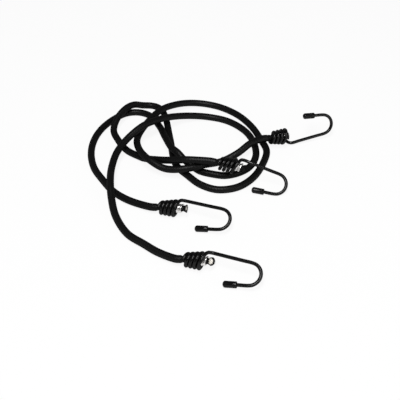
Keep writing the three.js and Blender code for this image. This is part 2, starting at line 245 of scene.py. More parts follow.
# %% Meshes from rings
def link_mesh(name, vertices, faces):
    mesh = bpy.data.meshes.new(name)
    mesh.from_pydata([tuple(v) for v in vertices], [], faces)
    mesh.validate()
    piece = bpy.data.objects.new(name, mesh)
    bpy.context.scene.collection.objects.link(piece)
    return piece


def shade(piece, sharp_angle=40):
    piece.data.shade_smooth()
    piece.data.set_sharp_from_angle(angle=math.radians(sharp_angle))
    return piece


def ring_faces(count, sides):
    """Quads between neighbouring rings, and one face over each end."""
    i = np.repeat(np.arange(count - 1), sides)
    j = np.tile(np.arange(sides), count - 1)
    k = (j + 1) % sides
    quads = np.column_stack([i * sides + j, i * sides + k, (i + 1) * sides + k, (i + 1) * sides + j])
    first = list(range(sides))[::-1]
    last = list(range((count - 1) * sides, count * sides))
    return [*quads.tolist(), first, last]


def tube_from_rings(name, rings, along=None):
    """A closed tube through rings of points; along gives each ring's place on the cloth."""
    count, sides, _ = rings.shape
    piece = link_mesh(name, rings.reshape(-1, 3), ring_faces(count, sides))
    layer = piece.data.uv_layers.new(name="cloth")
    along = np.arange(count, dtype=float) if along is None else along
    i = np.repeat(np.arange(count - 1), sides)
    j = np.tile(np.arange(sides), count - 1)
    corners = np.zeros((len(piece.data.loops), 2))
    for corner, (di, dj) in enumerate(((0, 0), (0, 1), (1, 1), (1, 0))):
        corners[corner:4 * len(i):4, 0] = (j + dj) / sides
        corners[corner:4 * len(i):4, 1] = along[i + di]
    layer.data.foreach_set("uv", corners.ravel())
    return shade(piece)


def level_frames(line):
    """For each point, a level direction to one side and the direction up from it."""
    ahead = np.gradient(line, axis=0)
    ahead /= np.linalg.norm(ahead, axis=1)[:, None]
    side = np.cross([0, 0, 1], ahead)
    side /= np.linalg.norm(side, axis=1)[:, None]
    return side, np.cross(ahead, side)


print("ring meshes ready")

# %% [markdown]
# The sheath is braided: ten flat strands wind one way round the cord and ten the other way, each
# passing over one and under the next. Bump alone would leave the outline a plain pipe, so the strands
# are in the mesh: every point is pushed out by whichever strand lies on top there. Two numbers count
# the strands that a point has passed in each direction, and their fractions say how near the middle of
# a strand it is.

# %% The braid's relief
STRANDS = 10
STRAND_STEP = 2.8 * MM
POINTS_PER_STRAND = 5
BRAID_SIDES = POINTS_PER_STRAND * STRANDS
BRAID_RING_STEP = 0.62 * MM
BRAID_DEPTH = 0.3 * MM
ROUND_SHARE = 0.6
WEAVE_SHARE = 1 - ROUND_SHARE


def braid_height(turn, along):
    """Height of the top strand, from 0 in a gap to 1 on a crown, at shares of a turn and lengths."""
    a = turn * STRANDS + along / STRAND_STEP
    b = turn * STRANDS - along / STRAND_STEP
    over = np.where((np.floor(a) + np.floor(b)) % 2 == 0, 1.0, -1.0)
    fa, fb = a % 1, b % 1
    crown_a = np.sqrt(1 - (2 * fa - 1) ** 2)
    crown_b = np.sqrt(1 - (2 * fb - 1) ** 2)
    first = ROUND_SHARE * crown_a + WEAVE_SHARE * over * np.sin(math.pi * fb)
    second = ROUND_SHARE * crown_b - WEAVE_SHARE * over * np.sin(math.pi * fa)
    return np.clip(np.maximum(first, second), 0, 1)


def braided_rings(line, along):
    """Rings of a braided tube along a line, whose crowns reach the cord's radius."""
    side, up = level_frames(line)
    turn = np.arange(BRAID_SIDES) / BRAID_SIDES
    height = braid_height(turn[None, :], along[:, None])
    reach = CORD_RADIUS - BRAID_DEPTH * (1 - height)
    angle = 2 * math.pi * turn
    around = np.cos(angle)[None, :, None] * side[:, None] + np.sin(angle)[None, :, None] * up[:, None]
    return line[:, None] + reach[..., None] * around


def points_at(line, where):
    along = lengths_along(line)
    return np.column_stack([np.interp(where, along, line[:, k]) for k in range(3)])


def braided_tube(name, cord, start, stop):
    """The sheath of a cord from one length along it to another."""
    count = round((stop - start) / BRAID_RING_STEP)
    along = np.linspace(start, stop, count + 1)
    line = points_at(cord.line, along)
    return tube_from_rings(name, braided_rings(line, along), along / STRAND_STEP), line


print("braid of", 2 * STRANDS, "strands,", BRAID_SIDES, "points round")

# %% [markdown]
# The sheath is one woven tube, but its ends are pulled out in use while its middle lies still. So each
# cord is three tubes that meet ring to ring: a middle that rides on the lying cords, and two runs that
# blend from the lying cords to a moving end.

# %% Sheaths that lie on the floor
END_RUN_LENGTH = 90 * MM
sheath_pieces = []
for cord in cords:
    first, second = cord.ends
    stretches = [
        (f"{cord.name}_braid", END_RUN_LENGTH, cord.length - END_RUN_LENGTH, None),
        (f"braid_run_{first.name}", 0, END_RUN_LENGTH, first),
        (f"braid_run_{second.name}", cord.length - END_RUN_LENGTH, cord.length, second),
    ]
    for name, start, stop, end in stretches:
        piece, line = braided_tube(name, cord, start, stop)
        sheath_pieces.append(piece)
        if end is None:
            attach(piece, "cords")
            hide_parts(f"{cord.name}_sheath", f"{cord.name}_core")
        else:
            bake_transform(piece)
            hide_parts(f"sheath_run_{end.name}")
        stop - start
        print(name, len(piece.data.vertices), "points,", round(stop - start, 3), "m")

# %% [markdown]
# Inside the coil the cord is squeezed thinner, and past the crimp its cut end flares. The same braid
# goes on along the straight axis, with a radius that follows the squeeze, and at the tail the tube
# turns in on itself so that the sheath's thickness shows. One end was cut on the slant, with its short
# side up and to the front, so its pale rubber shows.

# %% Gripped ends
SHEATH_WALL = 0.7 * MM
CRIMP_WIDTH = 5 * MM
TAIL_LENGTH = 4 * MM
TAIL_RADIUS = 4.2 * MM
PINCH_RADIUS = 2.8 * MM
PINCH_LENGTH = 1.2 * MM
TAIL_WAVE = 0.16 * MM
TAIL_LOBES = 3
TAIL_PHASE = 7 / MM
RIM_RINGS = 6
RIM_ROUND = 0.2 * MM
CUT_SLANT = {"1b": 2.4 * MM}
SHORT_SIDE = unit(np.array([0, -1.0, 0.9]))


def crimp_end(end):
    return end.crimp_middle + CRIMP_WIDTH / 2


def tail_end(end):
    return crimp_end(end) + FIT_GAP + TAIL_LENGTH


def slant_at(end, spokes):
    """How much shorter the cut leaves the tail, at unit spokes about the cord's axis."""
    return CUT_SLANT.get(end.name, 0) * (spokes @ SHORT_SIDE)


def grip_radius(end, along):
    """The sheath's outside along the axis, measured from the coil's wide end."""
    pinch = crimp_end(end)
    profile = [
        (GRIP_START - FIT_GAP, CORD_RADIUS),
        (GRIP_START, CORD_RADIUS),
        (GRIP_START + GRIP_TAPER, GRIP_RADIUS),
        (pinch, GRIP_RADIUS),
        (pinch + PINCH_LENGTH, PINCH_RADIUS),
        (tail_end(end), TAIL_RADIUS),
    ]
    return np.interp(along, *zip(*profile))


def cord_end(name, cord, end):
    """The squeezed end of the sheath, whose braid carries on from the run."""
    first = end is cord.ends[0]
    pinch, cut = crimp_end(end), tail_end(end)
    count = round((cut - GRIP_START) / BRAID_RING_STEP)
    out = np.linspace(GRIP_START - FIT_GAP, cut, count + 1)
    back = np.linspace(cut - RIM_ROUND, pinch, RIM_RINGS)
    u = np.concatenate([out, back])
    inward = np.concatenate([np.zeros(len(out)), np.full(len(back), SHEATH_WALL)])
    axis_points = end.place(np.column_stack([u, 0 * u, 0 * u]))
    passed = u - (GRIP_START - FIT_GAP)
    along = -passed if first else cord.length + passed
    line = end.place(np.column_stack([out, 0 * out, 0 * out]))
    side, up = level_frames(line[::-1] if first else line)
    angle = 2 * math.pi * np.arange(BRAID_SIDES) / BRAID_SIDES
    around = np.cos(angle)[:, None] * side[0] + np.sin(angle)[:, None] * up[0]
    height = braid_height(angle[None, :] / (2 * math.pi), along[:, None])
    open_share = np.clip((u - pinch) / (cut - pinch), 0, 1)
    lobes = np.sin(TAIL_LOBES * angle + TAIL_PHASE * end.origin[0])
    wave = TAIL_WAVE * open_share[:, None] * lobes[None, :]
    reach = (grip_radius(end, u) - inward)[:, None] - BRAID_DEPTH * (1 - height) + wave
    rings = axis_points[:, None] + reach[..., None] * around[None]
    rings -= (open_share[:, None] * slant_at(end, around)[None])[..., None] * end.axes[0]
    if first:
        rings = rings[:, ::-1]
    return tube_from_rings(name, rings, along / STRAND_STEP)


grip_pieces = []
for cord in cords:
    for end in cord.ends:
        grip = cord_end(f"braid_end_{end.name}", cord, end)
        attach(grip, f"end_{end.name}")
        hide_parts(f"sheath_grip_{end.name}")
        grip_pieces.append(grip)
        print("gripped end", end.name, len(grip.data.vertices), "points")

# %% [markdown]
# A cut braid frays, so short yarn ends stand out of each cut edge. Every one is a thin bent cone whose
# length, splay and twist are drawn from the seeded random numbers, and one mesh holds a whole tuft.

# %% Frayed tails
SEED = 8
YARN_ENDS = 44
YARN_SIDES = 5
YARN_RADIUS = 0.16 * MM
YARN_STRAY = 0.4
YARN_SEAT = (0.25, 0.75)
YARN_SPLAY = (-0.1, 0.4)
YARN_LENGTH = (0.4 * MM, 0.9 * MM)
YARN_TWIST = 0.1
YARN_PROFILE = ((-0.5, 1.0), (0.3, 0.9), (0.7, 0.7), (1.0, 0.25))

rng = random.Random(SEED)


def yarn_tuft(name, end):
    """Loose yarn ends round the cut edge of the sheath, as thin bent cones in one mesh."""
    vertices, faces = [], []
    for k in range(YARN_ENDS):
        angle = 2 * math.pi * (k + rng.uniform(-YARN_STRAY, YARN_STRAY)) / YARN_ENDS
        spoke = np.array([0, math.cos(angle), math.sin(angle)]) @ end.axes
        root = tail_end(end) - slant_at(end, spoke)
        reach = TAIL_RADIUS - SHEATH_WALL * rng.uniform(*YARN_SEAT)
        splay = rng.uniform(*YARN_SPLAY)
        size = rng.uniform(*YARN_LENGTH)
        twist = rng.uniform(-YARN_TWIST, YARN_TWIST)
        for step, thick in YARN_PROFILE:
            u = root + step * size
            r = reach + splay * size * max(step, 0) ** 2
            a = angle + twist * max(step, 0)
            centre = np.array([u, r * math.cos(a), r * math.sin(a)])
            for j in range(YARN_SIDES):
                t = 2 * math.pi * j / YARN_SIDES
                out = np.array([0, math.cos(a), math.sin(a)]) * math.cos(t)
                turn = np.array([0, -math.sin(a), math.cos(a)]) * math.sin(t)
                vertices.append(centre + YARN_RADIUS * thick * (out + turn))
        start = len(vertices) - len(YARN_PROFILE) * YARN_SIDES
        faces += [[start + v for v in face] for face in ring_faces(len(YARN_PROFILE), YARN_SIDES)]
    return shade(link_mesh(name, end.place(np.array(vertices)), faces), sharp_angle=70)


tuft_pieces = []
for end in ends.values():
    tuft = yarn_tuft(f"yarn_tuft_{end.name}", end)
    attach(tuft, f"end_{end.name}")
    tuft_pieces.append(tuft)
print(len(tuft_pieces), "tufts of", YARN_ENDS, "yarn ends")

# %% [markdown]
# The elastic part is a bundle of rubber strands. Only their cut faces show, inside the flared tail, so
# the bundle is built from there back to the crimp: one strand in the middle, a ring of six and a ring
# of twelve, each cut at its own length with a rounded edge.

# %% Rubber strands at the cut ends
RUBBER_STRAND_RADIUS = 0.62 * MM
RUBBER_SPACING = 1.25 * MM
RUBBER_SIDES = 12
RUBBER_RINGS = (1, 6, 12)
RUBBER_TURN = 0.3
RUBBER_UNEVEN = 0.4 * MM
RUBBER_ROUND = 0.15 * MM
CORE_RECESS = 0.5 * MM
NECK_SHARE = 0.4


def strand_profile(start, cut):
    """Places along one strand, with its thickness and its spread there as shares of the cut end's."""
    neck = start + NECK_SHARE * (cut - start)
    return [(start, 0.55, 0.55), (neck, 0.7, 0.58), (cut - RUBBER_ROUND, 1, 1), (cut, 0.75, 1)]


def rubber_bundle(name, end):
    """The cut ends of all rubber strands at one end of a cord, in one mesh."""
    vertices, faces = [], []
    for ring, number in enumerate(RUBBER_RINGS):
        for k in range(number):
            angle = 2 * math.pi * k / number + RUBBER_TURN * ring
            spread = RUBBER_SPACING * ring
            spoke = np.array([0, math.cos(angle), math.sin(angle)]) @ end.axes
            cut = tail_end(end) - slant_at(end, spoke) * spread / TAIL_RADIUS
            cut -= CORE_RECESS + rng.uniform(0, RUBBER_UNEVEN)
            profile = strand_profile(crimp_end(end), cut)
            for u, thick, opened in profile:
                centre = np.array([0, math.cos(angle), math.sin(angle)]) * spread * opened
                for j in range(RUBBER_SIDES):
                    t = 2 * math.pi * j / RUBBER_SIDES
                    edge = RUBBER_STRAND_RADIUS * thick * np.array([0, math.cos(t), math.sin(t)])
                    vertices.append(np.array([u, 0, 0]) + centre + edge)
            start = len(vertices) - len(profile) * RUBBER_SIDES
            faces += [[start + v for v in face] for face in ring_faces(len(profile), RUBBER_SIDES)]
    return shade(link_mesh(name, end.place(np.array(vertices)), faces))


bundle_pieces = []
for end in ends.values():
    bundle = rubber_bundle(f"rubber_bundle_{end.name}", end)
    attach(bundle, f"end_{end.name}")
    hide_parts(f"core_grip_{end.name}")
    bundle_pieces.append(bundle)
print(len(bundle_pieces), "bundles of", sum(RUBBER_RINGS), "strands")

# %% [markdown]
# The crimp is a strip of bright steel, bent round the sheath until its ends nearly meet. Its section is a
# rectangle with rounded corners, and a groove rolled into its outside parts it into two bright beads.
# The section is drawn here as a list of points, with the groove in its upper side.

# %% The crimp's section
CRIMP_WALL = 1.3 * MM
CRIMP_ROUND = 0.4 * MM
CORNER_STEPS = 4
GROOVE_WIDTH = 1.7 * MM
GROOVE_DEPTH = 1 * MM
GROOVE_STEPS = 8


def rounded_section(width, height, radius):
    """A rectangle with rounded corners and a groove in its upper side, as points about its middle."""
    points = []
    for quarter, (sx, sy) in enumerate(((1, 1), (-1, 1), (-1, -1), (1, -1))):
        for k in range(CORNER_STEPS + 1):
            angle = (quarter + k / CORNER_STEPS) * math.pi / 2
            x = sx * (width / 2 - radius) + radius * math.cos(angle)
            y = sy * (height / 2 - radius) + radius * math.sin(angle)
            points.append((x, y))
        if quarter == 0:
            for share in np.linspace(0.5, -0.5, GROOVE_STEPS + 1):
                dip = GROOVE_DEPTH * math.cos(math.pi * share) ** 2
                points.append((GROOVE_WIDTH * share, height / 2 - dip))
    return np.array(points)


crimp_section = rounded_section(CRIMP_WIDTH, CRIMP_WALL, CRIMP_ROUND)
print("the section of a crimp has", len(crimp_section), "points")

# %% [markdown]
# The section is now carried round most of a turn, and small flats from the closing jaws are pressed into
# it. A crimp outside its coil has its slit underneath and leans the way the turns do, because the last
# turn presses on it. A crimp drawn into its coil stays square, so that the hook can turn about it, and
# its slit faces up and to the front.

# %% Crimps
CRIMP_BORE = GRIP_RADIUS + FIT_GAP
CRIMP_SLIT = 1.4 * MM
CRIMP_STEPS = 72
SLIT_DOWN = np.array([0, 0, -1.0])
SLIT_UP = np.array([-0.06, -0.56, 0.83])
JAW_FLATS = 6
JAW_DEPTH = 0.16 * MM
LEANS = {"1a": 1, "1b": 1, "2a": 1, "2b": -0.5}


def lean_of(end):
    """How far a turn moves along the cord, for each step towards the shank."""
    return LEANS[end.name] * LEAN_SHIFT


def crimp_band(name, end):
    """The section carried about the cord's axis, from one side of the slit to the other."""
    across, height = crimp_section.T
    middle = CRIMP_BORE + CRIMP_WALL / 2
    half_slit = math.asin(CRIMP_SLIT / 2 / middle)
    drawn_in = end.crimp_middle < 0
    slit_way = end.axes @ (SLIT_UP if drawn_in else SLIT_DOWN)
    slit_at = math.atan2(slit_way[2], slit_way[1])
    lean = 0 if drawn_in else lean_of(end)
    rings = []
    for angle in slit_at + np.linspace(half_slit, 2 * math.pi - half_slit, CRIMP_STEPS + 1):
        pressed = JAW_DEPTH * max(0, math.cos(JAW_FLATS * angle)) ** 2
        reach = middle + height - np.where(height > 0, pressed, 0)
        u = end.crimp_middle + across + lean * reach * math.cos(angle)
        rings.append(np.column_stack([u, reach * math.cos(angle), reach * math.sin(angle)]))
    rings = np.array([end.place(ring) for ring in rings])
    return tube_from_rings(name, rings[:, ::-1])


crimp_pieces = []
for end in ends.values():
    band = crimp_band(f"crimp_band_{end.name}", end)
    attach(band, f"end_{end.name}")
    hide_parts(f"crimp_{end.name}")
    crimp_pieces.append(band)
print(len(crimp_pieces), "crimps with", JAW_FLATS, "jaw flats")

# %% [markdown]
# Each hook is one bent wire: a cone-shaped coil whose turns lean along the cord, a lead-out that swings
# to the coil's edge, a shank that slopes back to the axis, and a round bend. Its centreline repeats the
# solid's points.

# %% The line of a hook's wire
COIL_STEPS = 45
LEAD_OUT_TURN = math.radians(200)
LEAD_OUT_TURN_EASE = 1.7
LEAD_OUT_ALONG_EASE = 1.5
LEAD_OUT_STEPS = 7
LEAD_OUT_LENGTH = 9 * MM
SHANK_STANDOFF = 1 * MM
SHANK_OFFSET = COIL_WIDE + SHANK_STANDOFF
SHANK_LENGTH = 40.5 * MM
SHANK_STEPS = 4
SHANK_SLOPE = math.radians(10)
BEND_RADIUS = 11.2 * MM
BEND_ANGLE = math.radians(169)
BEND_STEPS = 8
TIP_LENGTH = 24 * MM
CAP_LENGTH = 13.5 * MM
CAP_END_WALL = 2 * MM
WIRE_SAMPLES = 20

shank_along = np.array([math.cos(SHANK_SLOPE), -math.sin(SHANK_SLOPE), 0])
shank_across = np.array([-math.sin(SHANK_SLOPE), -math.cos(SHANK_SLOPE), 0])
shank_start = np.array([LEAD_OUT_LENGTH, SHANK_OFFSET, 0])
bend_start = shank_start + SHANK_LENGTH * shank_along
bend_centre = bend_start + BEND_RADIUS * shank_across
tip_along = math.cos(BEND_ANGLE) * shank_along + math.sin(BEND_ANGLE) * shank_across


def bend_point(angle):
    return bend_centre + BEND_RADIUS * (math.sin(angle) * shank_along - math.cos(angle) * shank_across)


def round_axis(u, radius, angle, lean):
    """A point about the cord's axis, moved along it by a share of its distance across."""
    across = radius * math.cos(angle)
    return np.array([u + lean * across, across, radius * math.sin(angle)])


def wire_line(lean):
    """A hook's centreline in its end's own frame, from the coil's narrow end to inside the cap."""
    points = []
    for share in np.linspace(0, 1, COIL_STEPS + 1):
        angle = LEAD_OUT_TURN + (1 - share) * COIL_TURNS * 2 * math.pi
        radius = COIL_NARROW + COIL_FLARE * share
        points.append(round_axis((share - 1) * COIL_LENGTH, radius, angle, lean))
    for share in np.arange(1, LEAD_OUT_STEPS) / LEAD_OUT_STEPS:
        radius = COIL_WIDE + SHANK_STANDOFF * share
        angle = LEAD_OUT_TURN * (1 - share) ** LEAD_OUT_TURN_EASE
        along = LEAD_OUT_LENGTH * share ** LEAD_OUT_ALONG_EASE
        points.append(round_axis(along, radius, angle, lean * (1 - share)))
    points += [shank_start + k / SHANK_STEPS * (bend_start - shank_start) for k in range(SHANK_STEPS)]
    points += [bend_point(k / BEND_STEPS * BEND_ANGLE) for k in range(BEND_STEPS + 1)]
    inside_cap = TIP_LENGTH - CAP_END_WALL - FIT_GAP
    points += [bend_point(BEND_ANGLE) + tip_along * inside_cap * share for share in (0.5, 1)]
    return smooth_line(points, WIRE_SAMPLES)


hook_1a_line = wire_line(lean_of(ends["1a"]))
print("hook 1a takes", round(lengths_along(hook_1a_line)[-1], 3), "m of wire")

# %% [markdown]
# A round section now follows that line without twist, because each ring is the last one turned by the
# bend between them. The rings draw in over the last half millimetre, as the edge of a cut wire does.
# The coating that the hook is dipped in pools between the turns, so in the coil the wire is a little
# thicker.

# %% Hook wires
WIRE_SIDES = 18
WIRE_RING_STEP = 0.9 * MM
CUT_EDGE = np.array([0, 0.12, 0.3, 0.6]) * MM
CUT_EDGE_SHARE = np.array([0.72, 0.88, 0.97, 1])
POOLED_COATING = 0.12 * MM
FIRST_SIDE = np.array([0.3, 0.5, 0.8])


def carried_rings(line, radius):
    """Round rings along a line, each carried on from the last without twist."""
    ahead = np.gradient(line, axis=0)
    ahead /= np.linalg.norm(ahead, axis=1)[:, None]
    side = unit(np.cross(ahead[0], FIRST_SIDE))
    angle = 2 * math.pi * np.arange(WIRE_SIDES) / WIRE_SIDES
    rings = []
    for centre, forward, reach in zip(line, ahead, radius):
        side = unit(side - (side @ forward) * forward)
        around = np.cos(angle)[:, None] * side + np.sin(angle)[:, None] * np.cross(forward, side)
        rings.append(centre + reach * around)
    return np.array(rings)


def hook_wire(name, end):
    """The whole wire of one hook, with its two cut edges broken."""
    fine = wire_line(lean_of(end))
    along = lengths_along(fine)
    length, coil_end = along[-1], along[COIL_STEPS * WIRE_SAMPLES]
    even = np.linspace(0, length, round(length / WIRE_RING_STEP) + 1)
    places = np.sort(np.concatenate([CUT_EDGE, even[1:-1], length - CUT_EDGE]))
    from_cut = np.minimum(places, length - places)
    radius = np.interp(from_cut, CUT_EDGE, WIRE_RADIUS * CUT_EDGE_SHARE)
    radius += POOLED_COATING * np.interp(places, [coil_end, coil_end + LEAD_OUT_LENGTH], [1, 0])
    rings = carried_rings(points_at(fine, places), radius)
    return tube_from_rings(name, np.array([end.place(ring) for ring in rings]), places / MM)


wire_pieces = []
for end in ends.values():
    wire = hook_wire(f"wire_hook_{end.name}", end)
    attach(wire, f"hook_{end.name}")
    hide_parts(f"hook_wire_{end.name}")
    wire_pieces.append(wire)
print(len(wire_pieces), "hooks of", len(wire_pieces[0].data.vertices), "points")

# %% [markdown]
# A soft cap covers the wire's sharp end. It is a blind sleeve: a lip that turns in to the wire, a body
# with the faint ring that its mould leaves, and a rounded end. A profile turned about the tip's line
# gives all of it, and running the profile back down the bore keeps the mesh closed.

# %% Tip caps
CAP_WALL = 1.2 * MM
CAP_BORE = WIRE_RADIUS + FIT_GAP
CAP_RADIUS = CAP_BORE + CAP_WALL
CAP_LIP = 0.5 * MM
CAP_LIP_STEPS = 4
CAP_MOUTH = 0.3 * MM
CAP_MOUTH_FLARE = 0.2 * MM
CAP_DOME = 2.4 * MM
CAP_DOME_STEPS = 8
CAP_DOME_ANGLE = math.radians(86)
CAP_SIDES = 40
MOULD_RING_AT = 3.2 * MM
MOULD_RING_HEIGHT = 0.1 * MM
MOULD_RING_PROFILE = ((-0.35 * MM, 0), (-0.15 * MM, 1), (0.15 * MM, 1), (0.35 * MM, 0))
CAP_BODY_INSET = 0.06 * MM
CAP_BODY_RADIUS = CAP_RADIUS - CAP_BODY_INSET
BORE_END_SHARE = 0.2

bore_end = CAP_LENGTH - CAP_END_WALL
cap_profile = [(bore_end, BORE_END_SHARE * CAP_BORE), (bore_end, CAP_BORE)]
cap_profile += [(CAP_MOUTH, CAP_BORE), (0, CAP_BORE + CAP_MOUTH_FLARE)]
for angle in np.linspace(0, math.pi / 2, CAP_LIP_STEPS + 1):
    lip = CAP_BODY_RADIUS - CAP_LIP * (1 - math.sin(angle))
    cap_profile.append((CAP_LIP * (1 - math.cos(angle)), lip))
for offset, rise in MOULD_RING_PROFILE:
    cap_profile.append((MOULD_RING_AT + offset, CAP_BODY_RADIUS + rise * MOULD_RING_HEIGHT))
dome_start = CAP_LENGTH - CAP_DOME
for angle in np.linspace(0, CAP_DOME_ANGLE, CAP_DOME_STEPS + 1):
    cap_profile.append((dome_start + CAP_DOME * math.sin(angle), CAP_RADIUS * math.cos(angle)))
cap_start = bend_point(BEND_ANGLE) + (TIP_LENGTH - CAP_LENGTH) * tip_along
cap_side = np.cross([0, 0, 1], tip_along)
cap_angle = 2 * math.pi * np.arange(CAP_SIDES) / CAP_SIDES
cap_around = np.cos(cap_angle)[:, None] * cap_side + np.sin(cap_angle)[:, None] * np.array([0, 0, 1])

cap_pieces = []
for end in ends.values():
    rings = [end.place(cap_start + u * tip_along + r * cap_around) for u, r in cap_profile]
    cap = tube_from_rings(f"soft_cap_{end.name}", np.array(rings)[:, ::-1])
    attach(cap, f"hook_{end.name}")
    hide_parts(f"tip_cap_{end.name}")
    cap_pieces.append(cap)
print(len(cap_pieces), "caps of", len(cap_profile), "rings")

# %% [markdown]
# The finishes are shader graphs. Wiring nodes by hand hides the idea, so one small class lets a socket
# take part in ordinary arithmetic, where every operator adds one Math node. The reflected forms let a
# plain number stand first.

# %% Shader arithmetic
class Signal:
    """One output socket of a shader graph, which can be added, multiplied and compared."""

    def __init__(self, graph, socket):
        self.graph = graph
        self.socket = socket

    def math(self, operation, *others):
        return self.graph.add("ShaderNodeMath", {"operation": operation}, self, *others)

    def output(self, name):
        return Signal(self.graph, self.socket.node.outputs[name])

    def __add__(self, other):
        return self.math("ADD", other)

    def __sub__(self, other):
        return self.math("SUBTRACT", other)

    def __rsub__(self, other):
        return self.graph.add("ShaderNodeMath", {"operation": "SUBTRACT"}, other, self)

    def __mul__(self, other):
        return self.math("MULTIPLY", other)

    def __lt__(self, other):
        return self.math("LESS_THAN", other)

    __radd__ = __add__
    __rmul__ = __mul__


print("a socket takes part in sums, products and comparisons")

# %% [markdown]
# A graph makes the nodes. One method makes any node from its type, its settings and its inputs, and a few
# short ones stand for the nodes that return often. A finish is a graph that belongs to a material.

# %% Graphs and finishes
class Graph:
    """A node tree, in which add() makes any node from its type, its settings and its inputs."""

    def __init__(self, tree):
        self.tree = tree

    def feed(self, socket, value):
        if isinstance(value, Signal):
            self.tree.links.new(value.socket, socket)
        else:
            socket.default_value = value

    def add(self, kind, settings, *values, **named):
        node = self.tree.nodes.new(kind)
        for key, value in settings.items():
            if key == "stops":
                ramp = node.color_ramp.elements
                while len(ramp) < len(value):
                    ramp.new(1)
                for element, (position, colour) in zip(ramp, value):
                    element.position = position
                    element.color = (*colour, 1)
            else:
                setattr(node, key, value)
        for socket, value in zip(node.inputs, values):
            self.feed(socket, value)
        for key, value in named.items():
            self.feed(node.inputs[key.replace("_", " ")], value)
        return Signal(self, node.outputs[0])

    def place(self, kind="Object"):
        return self.add("ShaderNodeTexCoord", {}).output(kind)

    def noise(self, where, scale, detail):
        return self.add("ShaderNodeTexNoise", {}, Vector=where, Scale=scale, Detail=detail)

    def ramp(self, factor, *stops):
        return self.add("ShaderNodeValToRGB", {"stops": stops}, factor)

    def bump(self, height, distance, strength):
        return self.add("ShaderNodeBump", {}, Height=height, Distance=distance, Strength=strength)


class Finish(Graph):
    """A material with its graph; surface() sets the main shader's sockets."""

    def __init__(self, name):
        self.material = bpy.data.materials.new(name)
        self.material.use_nodes = True
        super().__init__(self.material.node_tree)
        self.shader = self.tree.nodes["Principled BSDF"]

    def surface(self, **sockets):
        for key, value in sockets.items():
            self.feed(self.shader.inputs[key.replace("_", " ")], value)


def grey(value, warmth=0.0):
    return (value + warmth, value, value - warmth)


def dress(pieces, material):
    for piece in pieces:
        piece.data.materials.clear()
        piece.data.materials.append(material)
    print(material.name, "on", len(pieces), "pieces")


print("graphs and finishes ready")

# %% [markdown]
# The braid is black polyester. Close up, each flat strand is a bundle of parallel filaments with a faint
# sheen. The UV map counts strands in the same way as the mesh, so the finish finds the strand on top, by
# whether the two counts add up to an even number, and draws filaments along it. Its base colour is also
# painted darker towards the gaps between strands, as painted shade. The sheen of all three black finishes
# is a thin share of a clear coat with a high index: it shows a lamp, and unlike plain gloss it hardly
# brightens towards a strand's edges.

# %% Black braid
FILAMENTS = 7
SHEEN_INDEX = 2.5

black_braid = Finish("black_braid")
cloth = black_braid.add("ShaderNodeUVMap", {"uv_map": "cloth"})
cloth_xy = black_braid.add("ShaderNodeSeparateXYZ", {}, cloth)
round_count = cloth_xy.output("X") * STRANDS
along_count = cloth_xy.output("Y")
strand_a = round_count + along_count
strand_b = round_count - along_count
parity = (strand_a.math("FLOOR") + strand_b.math("FLOOR")) * 0.5
a_on_top = parity.math("FRACT") < 0.25
across_a = strand_a.math("FRACT")
across_b = strand_b.math("FRACT")
across = a_on_top * across_a + (1 - a_on_top) * across_b
filament = (across * (FILAMENTS * 2 * math.pi)).math("SINE") * 0.5 + 0.5
# The crown term is painted shade: it makes the base colour darker towards the gaps between strands.
crown = (across * (1 - across) * 4.0).math("POWER", 0.5)
fuzz = black_braid.noise(black_braid.place(), scale=2400, detail=2.0)
# The base colour mixes painted shade in the gaps (crown) with the filaments' lines and random fuzz.
tone_with_gap_shade = crown * 0.55 + filament * 0.25 + fuzz * 0.3
braid_stops = ((0.15, grey(0.001)), (0.6, grey(0.0025)), (1, grey(0.007)))
black_braid.surface(
    Base_Color=black_braid.ramp(tone_with_gap_shade, *braid_stops),
    Roughness=0.6 - filament * 0.08 - crown * 0.05,
    Specular_IOR_Level=0.0,
    Coat_Weight=0.06,
    Coat_IOR=SHEEN_INDEX,
    Coat_Roughness=0.4,
    Normal=black_braid.bump(filament * 0.7 + fuzz * 0.5, distance=0.06 * MM, strength=0.6),
)
dress(sheath_pieces + grip_pieces + tuft_pieces, black_braid.material)

# %% [markdown]
# The hooks are dipped in black enamel: smooth, with soft highlights along the wire, slight unevenness
# where the coating flowed, and a little dust that dulls it in places.

# %% Coated wire
coated_wire = Finish("coated_wire")
flow = coated_wire.noise(coated_wire.place(), scale=420, detail=2.0)
dust = coated_wire.noise(coated_wire.place(), scale=1500, detail=4.0)
wire_stops = ((0.3, grey(0.0015)), (0.7, grey(0.003)))
coated_wire.surface(
    Base_Color=coated_wire.ramp(flow, *wire_stops),
    Roughness=0.4 + dust * 0.16,
    Specular_IOR_Level=0.0,
    Coat_Weight=0.11,
    Coat_IOR=SHEEN_INDEX,
    Coat_Roughness=0.16,
    Normal=coated_wire.bump(flow * 0.7 + dust * 0.3, distance=0.1 * MM, strength=0.35),
)
dress(wire_pieces, coated_wire.material)

# %% [markdown]
# The caps are soft vinyl, moulded with a satin skin. They are duller and slightly greyer than the wire.

# %% Soft vinyl
soft_vinyl = Finish("soft_vinyl")
pores = soft_vinyl.noise(soft_vinyl.place(), scale=3200, detail=2.0)
handling = soft_vinyl.noise(soft_vinyl.place(), scale=260, detail=3.0)
vinyl_stops = ((0.35, grey(0.002)), (0.75, grey(0.004)))
soft_vinyl.surface(
    Base_Color=soft_vinyl.ramp(handling, *vinyl_stops),
    Roughness=0.5 + handling * 0.2,
    Specular_IOR_Level=0.0,
    Coat_Weight=0.09,
    Coat_IOR=SHEEN_INDEX,
    Coat_Roughness=0.26,
    Normal=soft_vinyl.bump(pores, distance=0.05 * MM, strength=0.5),
)
dress(cap_pieces, soft_vinyl.material)

# %% [markdown]
# The crimps are zinc-plated strip. The plating has faint spangles, so its grey varies a little across
# small cells, and a fine unevenness roughens its reflections.

